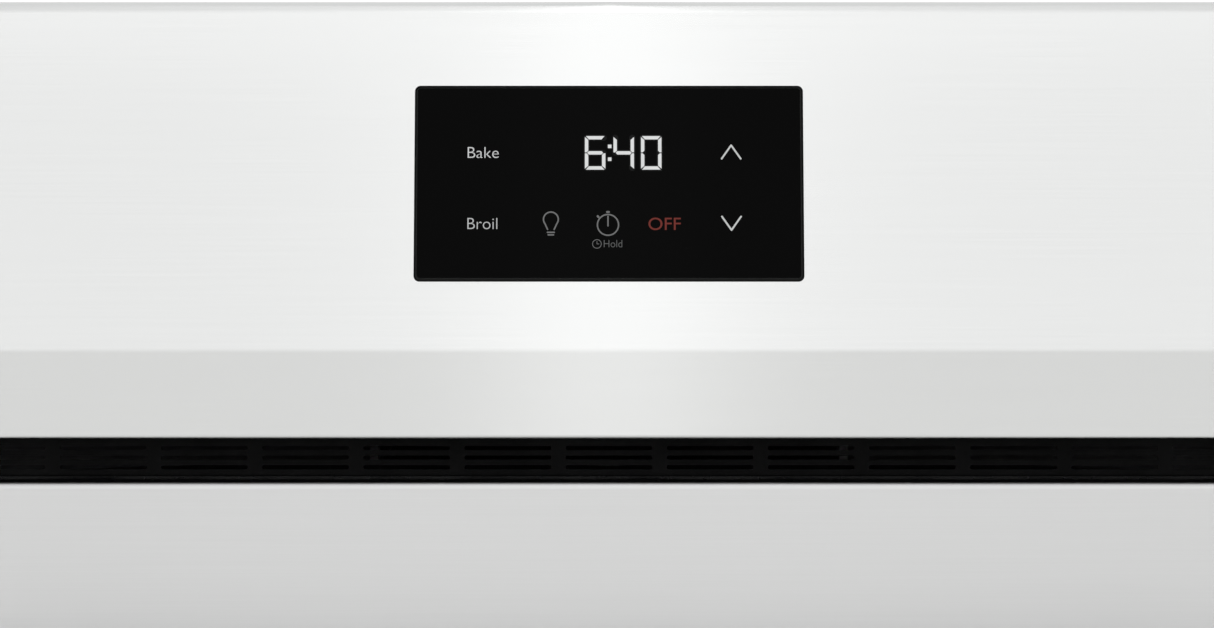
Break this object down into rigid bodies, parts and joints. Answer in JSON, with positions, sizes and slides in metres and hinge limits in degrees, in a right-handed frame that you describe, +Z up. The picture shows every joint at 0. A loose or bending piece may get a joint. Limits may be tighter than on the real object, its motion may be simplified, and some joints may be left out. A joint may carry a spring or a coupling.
{
  "type": "wall oven",
  "caption": "Built-in single wall oven: tilted control panel with a flat black touch display, drop-down door with bar handle and window, sliding racks and a cooling-air blower.",
  "frame": {"origin": "bottom of the body, at the middle of the whole width and depth, the handle included", "axes": "+X to the right seen from the front, +Y to the back, +Z up"},
  "size_m": [0.603, 0.665, 0.7393],
  "materials": {
    "satin_steel": "satin",
    "zinc_steel": "satin",
    "cavity_enamel": "gloss",
    "black_paint": "satin",
    "black_glass": "gloss",
    "window_glass": "gloss",
    "lamp_glass": "gloss",
    "rack_chrome": "polished",
    "element_sheath": "matte",
    "glass_wool": "matte",
    "gasket_braid": "matte",
    "circuit_board": "satin",
    "black_plastic": "matte",
    "grey_plastic": "satin",
    "motor_iron": "satin",
    "blower_aluminium": "satin",
    "lamp_ceramic": "satin",
    "wire_sleeve": "matte"
  },
  "bodies": {
    "oven": {"control_panel": "satin_steel", "panel_end_caps": "satin_steel", "panel_brackets": "zinc_steel", "control_glass": "black_glass", "control_tray": "black_plastic", "touch_board": "circuit_board", "display_module": "black_plastic", "board_bracket": "zinc_steel", "control_board": "circuit_board", "hinge_receivers": "zinc_steel", "hinge_pins": "zinc_steel", "door_gasket": "gasket_braid", "door_switch_body": "black_plastic", "front_frame": "cavity_enamel", "mounting_flanges": "black_paint", "upper_brace": "zinc_steel", "bottom_trim": "black_paint", "base_pan": "zinc_steel", "side_panels": "zinc_steel", "top_cover": "zinc_steel", "rear_panel": "zinc_steel", "wiring_cover": "zinc_steel", "body_screws": "zinc_steel", "insulation_blanket": "glass_wool", "heat_shield": "zinc_steel", "thermal_limiter": "grey_plastic", "cavity_liner": "cavity_enamel", "rack_guides": "rack_chrome", "bake_element": "element_sheath", "broil_element": "element_sheath", "element_plates": "zinc_steel", "lamp_housing": "lamp_ceramic", "lamp_bulb": "lamp_glass", "lamp_lens": "lamp_glass", "temperature_sensor": "zinc_steel", "vent_duct": "black_paint", "vent_grille": "black_paint", "blower_housing": "zinc_steel", "blower_motor": "motor_iron", "junction_box": "zinc_steel", "junction_cover": "zinc_steel", "conduit_gland": "zinc_steel", "terminal_block": "grey_plastic", "wiring_harness": "wire_sleeve"},
    "door": {"door_outer_panel": "satin_steel", "handle_bar": "satin_steel", "handle_posts": "satin_steel", "door_glass_outer": "window_glass", "door_glass_middle": "window_glass", "door_glass_inner": "window_glass", "door_glass_spacer": "zinc_steel", "door_liner": "cavity_enamel", "door_side_rails": "zinc_steel", "door_insulation": "glass_wool", "door_screws": "zinc_steel", "hinge_arms": "zinc_steel"},
    "lower_rack": {"rack_lower": "rack_chrome"},
    "upper_rack": {"rack_upper": "rack_chrome"},
    "blower_rotor": {"blower_wheel": "blower_aluminium"},
    "switch_plunger": {"door_switch_plunger": "grey_plastic"}
  },
  "joints": [
    {"name": "door_hinge", "type": "hinge", "parent": "oven", "child": "door", "pos_m": [0, -0.2415, 0.046], "axis": [1, 0, 0], "range_deg": [0, 90], "stiffness_Nm_per_rad": 20, "springref_deg": -11.46},
    {"name": "lower_rack_slide", "type": "slide", "parent": "oven", "child": "lower_rack", "axis": [0, -1, 0], "range_m": [0, 0.28]},
    {"name": "upper_rack_slide", "type": "slide", "parent": "oven", "child": "upper_rack", "axis": [0, -1, 0], "range_m": [0, 0.28]},
    {"name": "switch_travel", "type": "slide", "parent": "oven", "child": "switch_plunger", "axis": [0, -1, 0], "range_m": [0, 0.005]},
    {"name": "blower_spin", "type": "hinge", "parent": "oven", "child": "blower_rotor", "pos_m": [0, -0.0075, 0.591], "axis": [1, 0, 0], "continuous": true}
  ],
  "couplings": [
    {"joint": "lower_rack_slide", "follows": "door_hinge", "m_per_rad": 0.17825},
    {"joint": "upper_rack_slide", "follows": "door_hinge", "m_per_rad": 0.17825},
    {"joint": "switch_travel", "follows": "door_hinge", "m_per_rad": 0.00318}
  ]
}
